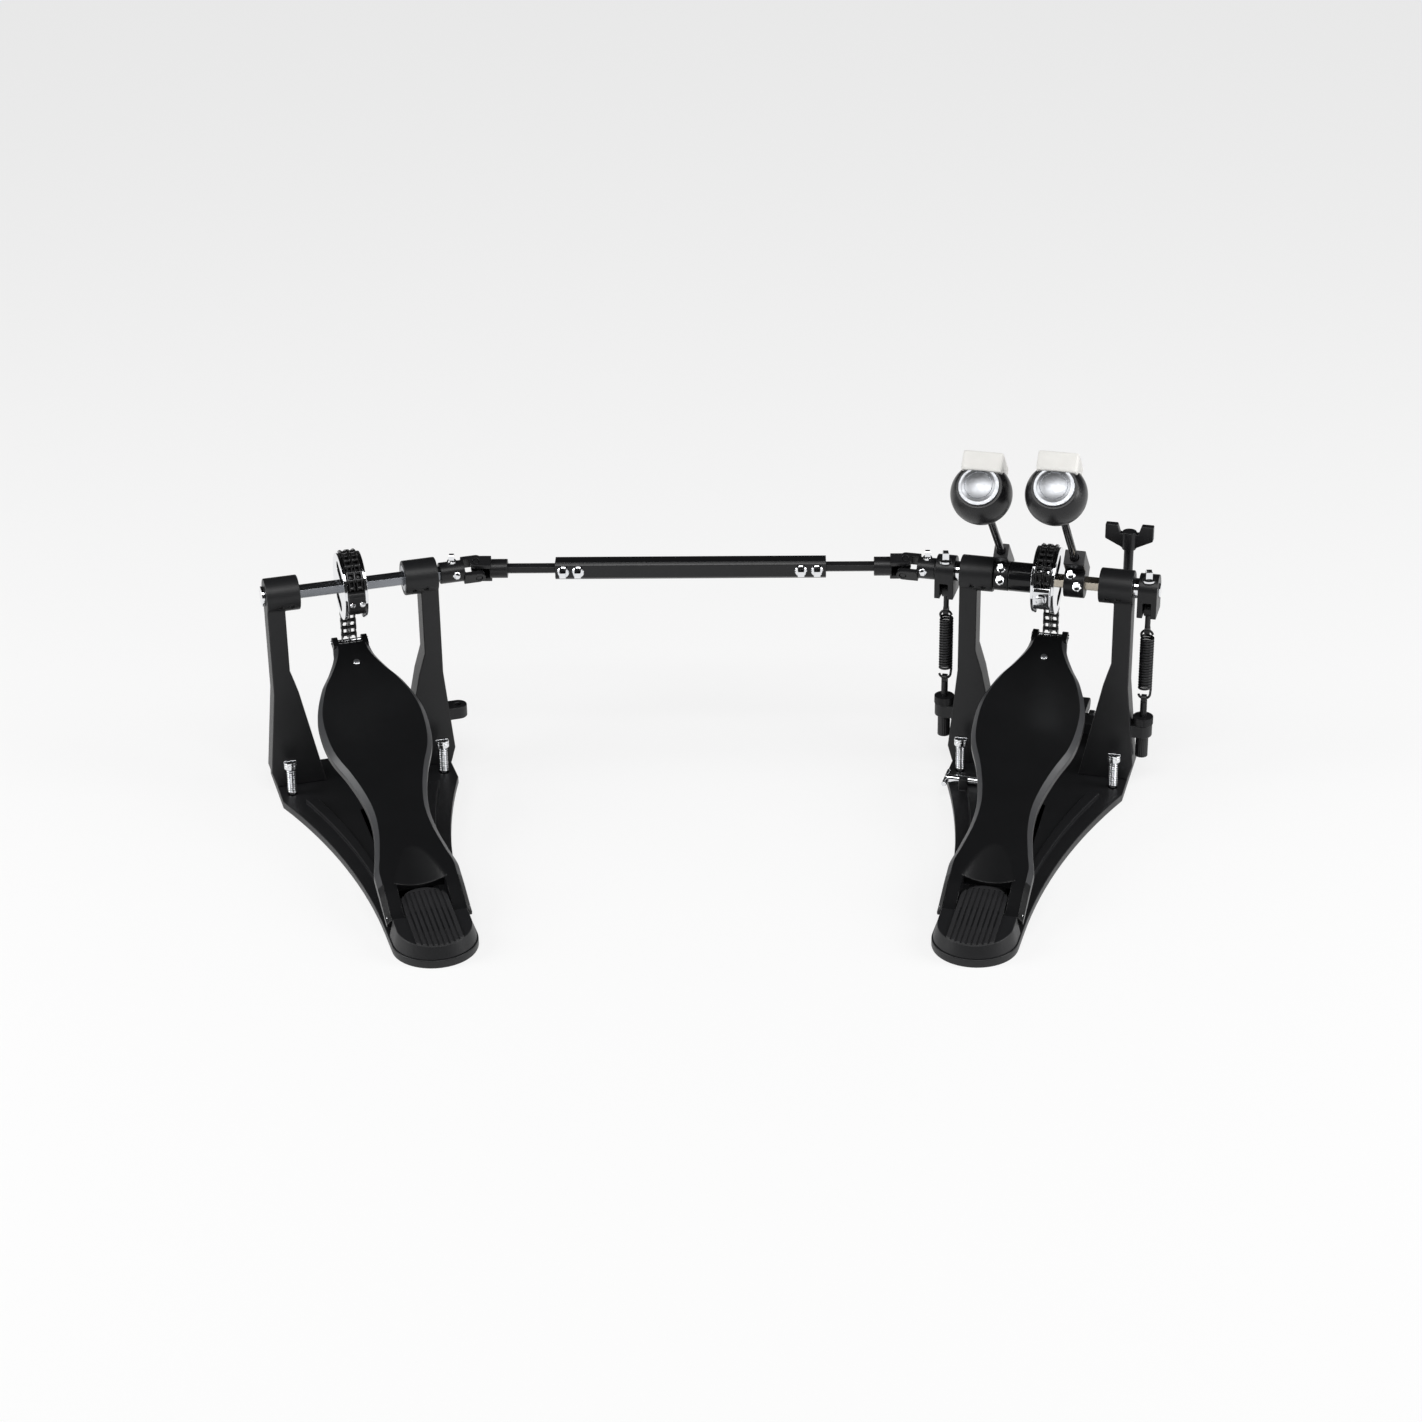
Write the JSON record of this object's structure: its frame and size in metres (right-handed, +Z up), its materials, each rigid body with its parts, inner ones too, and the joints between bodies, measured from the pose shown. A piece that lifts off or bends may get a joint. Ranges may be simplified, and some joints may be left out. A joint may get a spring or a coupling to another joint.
{
  "type": "double bass drum pedal",
  "caption": "Double bass drum pedal: chain-drive main pedal with beaters and hoop clamp, joined to a second pedal by a telescopic link shaft with universal joints.",
  "frame": {"origin": "on the floor under the middle of the main (right) pedal's shaft", "axes": "+X along the link shaft from the second pedal to the main pedal, +Y towards the drum, +Z up"},
  "size_m": [0.7502, 0.4179, 0.342],
  "materials": {
    "satin_black": "satin black",
    "cast_black": "satin black powder coat on cast aluminium",
    "rubber": "matt ridged rubber",
    "steel": "dark plated steel",
    "chrome": "polished chrome",
    "felt": "white felt",
    "ball_plastic": "satin black plastic with a chrome cap",
    "chain_black": "black oxide"
  },
  "bodies": {
    "frame": {"main_base_plate": "cast_black", "main_heel_plate": "cast_black", "main_heel_pad": "rubber", "main_left_post": "cast_black", "main_right_post": "cast_black", "slave_base_plate": "cast_black", "slave_heel_plate": "cast_black", "slave_heel_pad": "rubber", "slave_left_post": "cast_black", "slave_right_post": "cast_black", "hinge_pins": "steel", "bearings": "steel", "spurs": "chrome", "spring_eye_rods": "satin_black"},
    "main_board": {"main_footboard": "cast_black"},
    "slave_board": {"slave_footboard": "cast_black"},
    "main_shaft_group": {"main_shaft": "steel", "main_cam": "chrome", "main_chain_wrap": "chain_black", "right_beater_holder": "satin_black", "right_spring_rocker": "satin_black"},
    "aux_shaft_group": {"aux_shaft": "satin_black", "left_beater_holder": "satin_black", "left_spring_rocker": "satin_black", "right_joint_hub": "satin_black"},
    "slave_shaft_group": {"slave_shaft": "steel", "slave_cam": "chrome", "slave_chain_wrap": "chain_black", "left_joint_hub": "satin_black"},
    "link": {"link_rods": "steel"},
    "tube": {"link_tube": "satin_black"},
    "cross_left": {"left_cross": "steel"},
    "cross_right": {"right_cross": "steel"},
    "jaw": {"clamp_jaw": "satin_black"},
    "bolt": {"wing_bolt": "satin_black"},
    "key": {"drum_key": "chrome"},
    "main_link_4": {"main_chain_link_4": "chain_black"},
    "main_link_3": {"main_chain_link_3": "chain_black"},
    "main_link_2": {"main_chain_link_2": "chain_black"},
    "main_link_1": {"main_chain_link_1": "chain_black"},
    "main_run": {"main_chain_run": "chain_black"},
    "slave_link_4": {"slave_chain_link_4": "chain_black"},
    "slave_link_3": {"slave_chain_link_3": "chain_black"},
    "slave_link_2": {"slave_chain_link_2": "chain_black"},
    "slave_link_1": {"slave_chain_link_1": "chain_black"},
    "slave_run": {"slave_chain_run": "chain_black"},
    "right_beater": {"right_beater_rod": "satin_black", "right_beater_head": "ball_plastic", "right_beater_felt": "felt"},
    "right_spring_body": {"right_spring": "satin_black"},
    "right_hanger_body": {"right_hanger": "satin_black"},
    "right_nuts": {"right_tension_nuts": "satin_black"},
    "left_beater": {"left_beater_rod": "satin_black", "left_beater_head": "ball_plastic", "left_beater_felt": "felt"},
    "left_spring_body": {"left_spring": "satin_black"},
    "left_hanger_body": {"left_hanger": "satin_black"},
    "left_nuts": {"left_tension_nuts": "satin_black"}
  },
  "joints": [
    {"name": "main_shaft_turn", "type": "hinge", "parent": "frame", "child": "main_shaft_group", "pos_m": [0, 0, 0.18], "axis": [-0.9703, 0.2419, 0], "range_deg": [0, 54], "stiffness_Nm_per_rad": 1.2, "springref_deg": -34.38},
    {"name": "left_shaft_turn", "type": "hinge", "parent": "frame", "child": "aux_shaft_group", "pos_m": [-0.05822, 0.01452, 0.18], "axis": [-0.9703, 0.2419, 0], "range_deg": [0, 54], "stiffness_Nm_per_rad": 1.2, "springref_deg": -34.38},
    {"name": "slave_shaft_turn", "type": "hinge", "parent": "frame", "child": "slave_shaft_group", "pos_m": [-0.57676, -0.00225, 0.18], "axis": [-0.9563, -0.2924, 0], "range_deg": [-0.05, 53.38]},
    {"name": "main_footboard_hinge", "type": "hinge", "parent": "frame", "child": "main_board", "pos_m": [-0.0658, -0.26392, 0.017], "axis": [-0.9703, 0.2419, 0], "range_deg": [-0.05, 4.76]},
    {"name": "main_chain_bend_4", "type": "hinge", "parent": "main_shaft_group", "child": "main_link_4", "pos_m": [0.00384, 0.01539, 0.20185], "axis": [-0.9703, 0.2419, 0], "range_deg": [-9.9, 0.05]},
    {"name": "main_chain_bend_3", "type": "hinge", "parent": "main_link_4", "child": "main_link_3", "pos_m": [0.00497, 0.01992, 0.19754], "axis": [-0.9703, 0.2419, 0], "range_deg": [-13.55, 0.05]},
    {"name": "main_chain_bend_2", "type": "hinge", "parent": "main_link_3", "child": "main_link_2", "pos_m": [0.00582, 0.02334, 0.19226], "axis": [-0.9703, 0.2419, 0], "range_deg": [-13.55, 0.05]},
    {"name": "main_chain_bend_1", "type": "hinge", "parent": "main_link_2", "child": "main_link_1", "pos_m": [0.00635, 0.02547, 0.18631], "axis": [-0.9703, 0.2419, 0], "range_deg": [-13.55, 0.05]},
    {"name": "main_chain_bend_0", "type": "hinge", "parent": "main_link_1", "child": "main_run", "pos_m": [0.00653, 0.0262, 0.18], "axis": [-0.9703, 0.2419, 0], "range_deg": [-6.8, 0.05]},
    {"name": "slave_footboard_hinge", "type": "hinge", "parent": "frame", "child": "slave_board", "pos_m": [-0.49723, -0.26237, 0.017], "axis": [-0.9563, -0.2924, 0], "range_deg": [-0.05, 4.7]},
    {"name": "slave_chain_bend_4", "type": "hinge", "parent": "slave_shaft_group", "child": "slave_link_4", "pos_m": [-0.5814, 0.01291, 0.20185], "axis": [-0.9563, -0.2924, 0], "range_deg": [-9.78, 0.05]},
    {"name": "slave_chain_bend_3", "type": "hinge", "parent": "slave_link_4", "child": "slave_link_3", "pos_m": [-0.58276, 0.01738, 0.19754], "axis": [-0.9563, -0.2924, 0], "range_deg": [-13.38, 0.05]},
    {"name": "slave_chain_bend_2", "type": "hinge", "parent": "slave_link_3", "child": "slave_link_2", "pos_m": [-0.58379, 0.02075, 0.19226], "axis": [-0.9563, -0.2924, 0], "range_deg": [-13.38, 0.05]},
    {"name": "slave_chain_bend_1", "type": "hinge", "parent": "slave_link_2", "child": "slave_link_1", "pos_m": [-0.58444, 0.02285, 0.18631], "axis": [-0.9563, -0.2924, 0], "range_deg": [-13.38, 0.05]},
    {"name": "slave_chain_bend_0", "type": "hinge", "parent": "slave_link_1", "child": "slave_run", "pos_m": [-0.58465, 0.02357, 0.18], "axis": [-0.9563, -0.2924, 0], "range_deg": [-6.72, 0.05]},
    {"name": "link_turn", "type": "hinge", "parent": "frame", "child": "link", "pos_m": [-0.11644, 0.02903, 0.18], "axis": [-1, 0, 0], "range_deg": [-0.05, 55.48]},
    {"name": "right_cross_swing", "type": "hinge", "parent": "aux_shaft_group", "child": "cross_right", "pos_m": [-0.11644, 0.02903, 0.18], "axis": [0.2156, 0.8645, 0.454], "range_deg": [-13.02, 0.05]},
    {"name": "left_cross_swing", "type": "hinge", "parent": "slave_shaft_group", "child": "cross_left", "pos_m": [-0.47444, 0.02903, 0.18], "axis": [-0.2605, 0.8521, 0.454], "range_deg": [-0.05, 15.72]},
    {"name": "link_telescope", "type": "slide", "parent": "link", "child": "tube", "axis": [1, 0, 0], "range_m": [-0.025, 0.025]},
    {"name": "right_beater_height", "type": "slide", "parent": "main_shaft_group", "child": "right_beater", "axis": [-0.1769, -0.7096, 0.682], "range_m": [-0.02, 0.02]},
    {"name": "right_spring_tilt", "type": "hinge", "parent": "frame", "child": "right_spring_body", "pos_m": [0.08199, -0.02044, 0.08], "axis": [-0.9703, 0.2419, 0], "range_deg": [-9.34, 0.05], "deforming": ["right_spring"]},
    {"name": "right_spring_stretch", "type": "slide", "parent": "right_spring_body", "child": "right_hanger_body", "axis": [0, 0, 1], "range_m": [-0.00005, 0.00695], "deforming": ["right_spring"]},
    {"name": "right_nut_turn", "type": "hinge", "parent": "frame", "child": "right_nuts", "pos_m": [0.08199, -0.02044, 0.046], "axis": [0, 0, 1], "range_deg": [-180, 180]},
    {"name": "left_beater_height", "type": "slide", "parent": "aux_shaft_group", "child": "left_beater", "axis": [-0.1769, -0.7096, 0.682], "range_m": [-0.02, 0.02]},
    {"name": "left_spring_tilt", "type": "hinge", "parent": "frame", "child": "left_spring_body", "pos_m": [-0.08199, 0.02044, 0.08], "axis": [-0.9703, 0.2419, 0], "range_deg": [-9.34, 0.05], "deforming": ["left_spring"]},
    {"name": "left_spring_stretch", "type": "slide", "parent": "left_spring_body", "child": "left_hanger_body", "axis": [0, 0, 1], "range_m": [-0.00005, 0.00695], "deforming": ["left_spring"]},
    {"name": "left_nut_turn", "type": "hinge", "parent": "frame", "child": "left_nuts", "pos_m": [-0.08199, 0.02044, 0.046], "axis": [0, 0, 1], "range_deg": [-180, 180]},
    {"name": "hoop_clamp_close", "type": "hinge", "parent": "frame", "child": "jaw", "pos_m": [0.01548, 0.0621, 0.025], "axis": [-0.9703, 0.2419, 0], "range_deg": [0, 8]},
    {"name": "wing_bolt_turn", "type": "hinge", "parent": "jaw", "child": "bolt", "pos_m": [0.06959, 0.03109, 0.196], "axis": [0, 0, 1], "range_deg": [-180, 180]},
    {"name": "drum_key_out", "type": "slide", "parent": "frame", "child": "key", "axis": [-0.9703, 0.2419, 0], "range_m": [0, 0.03]}
  ],
  "couplings": [
    {"joint": "slave_shaft_turn", "follows": "left_shaft_turn", "ratio": 0.98751},
    {"joint": "main_footboard_hinge", "follows": "main_shaft_turn", "ratio": 0.08728},
    {"joint": "main_chain_bend_4", "follows": "main_shaft_turn", "ratio": -0.1825},
    {"joint": "main_chain_bend_3", "follows": "main_shaft_turn", "ratio": -0.25},
    {"joint": "main_chain_bend_2", "follows": "main_shaft_turn", "ratio": -0.25},
    {"joint": "main_chain_bend_1", "follows": "main_shaft_turn", "ratio": -0.25},
    {"joint": "main_chain_bend_0", "follows": "main_shaft_turn", "ratio": -0.125},
    {"joint": "slave_footboard_hinge", "follows": "left_shaft_turn", "ratio": 0.08619},
    {"joint": "slave_chain_bend_4", "follows": "left_shaft_turn", "ratio": -0.18022},
    {"joint": "slave_chain_bend_3", "follows": "left_shaft_turn", "ratio": -0.24688},
    {"joint": "slave_chain_bend_2", "follows": "left_shaft_turn", "ratio": -0.24688},
    {"joint": "slave_chain_bend_1", "follows": "left_shaft_turn", "ratio": -0.24688},
    {"joint": "slave_chain_bend_0", "follows": "left_shaft_turn", "ratio": -0.12344},
    {"joint": "link_turn", "follows": "left_shaft_turn", "ratio": 1.0265},
    {"joint": "right_cross_swing", "follows": "left_shaft_turn", "ratio": -0.2401},
    {"joint": "left_cross_swing", "follows": "left_shaft_turn", "ratio": 0.29024},
    {"joint": "right_spring_tilt", "follows": "main_shaft_turn", "ratio": -0.172},
    {"joint": "right_spring_stretch", "follows": "main_shaft_turn", "m_per_rad": 0.007321},
    {"joint": "left_spring_tilt", "follows": "left_shaft_turn", "ratio": -0.172},
    {"joint": "left_spring_stretch", "follows": "left_shaft_turn", "m_per_rad": 0.007321}
  ]
}
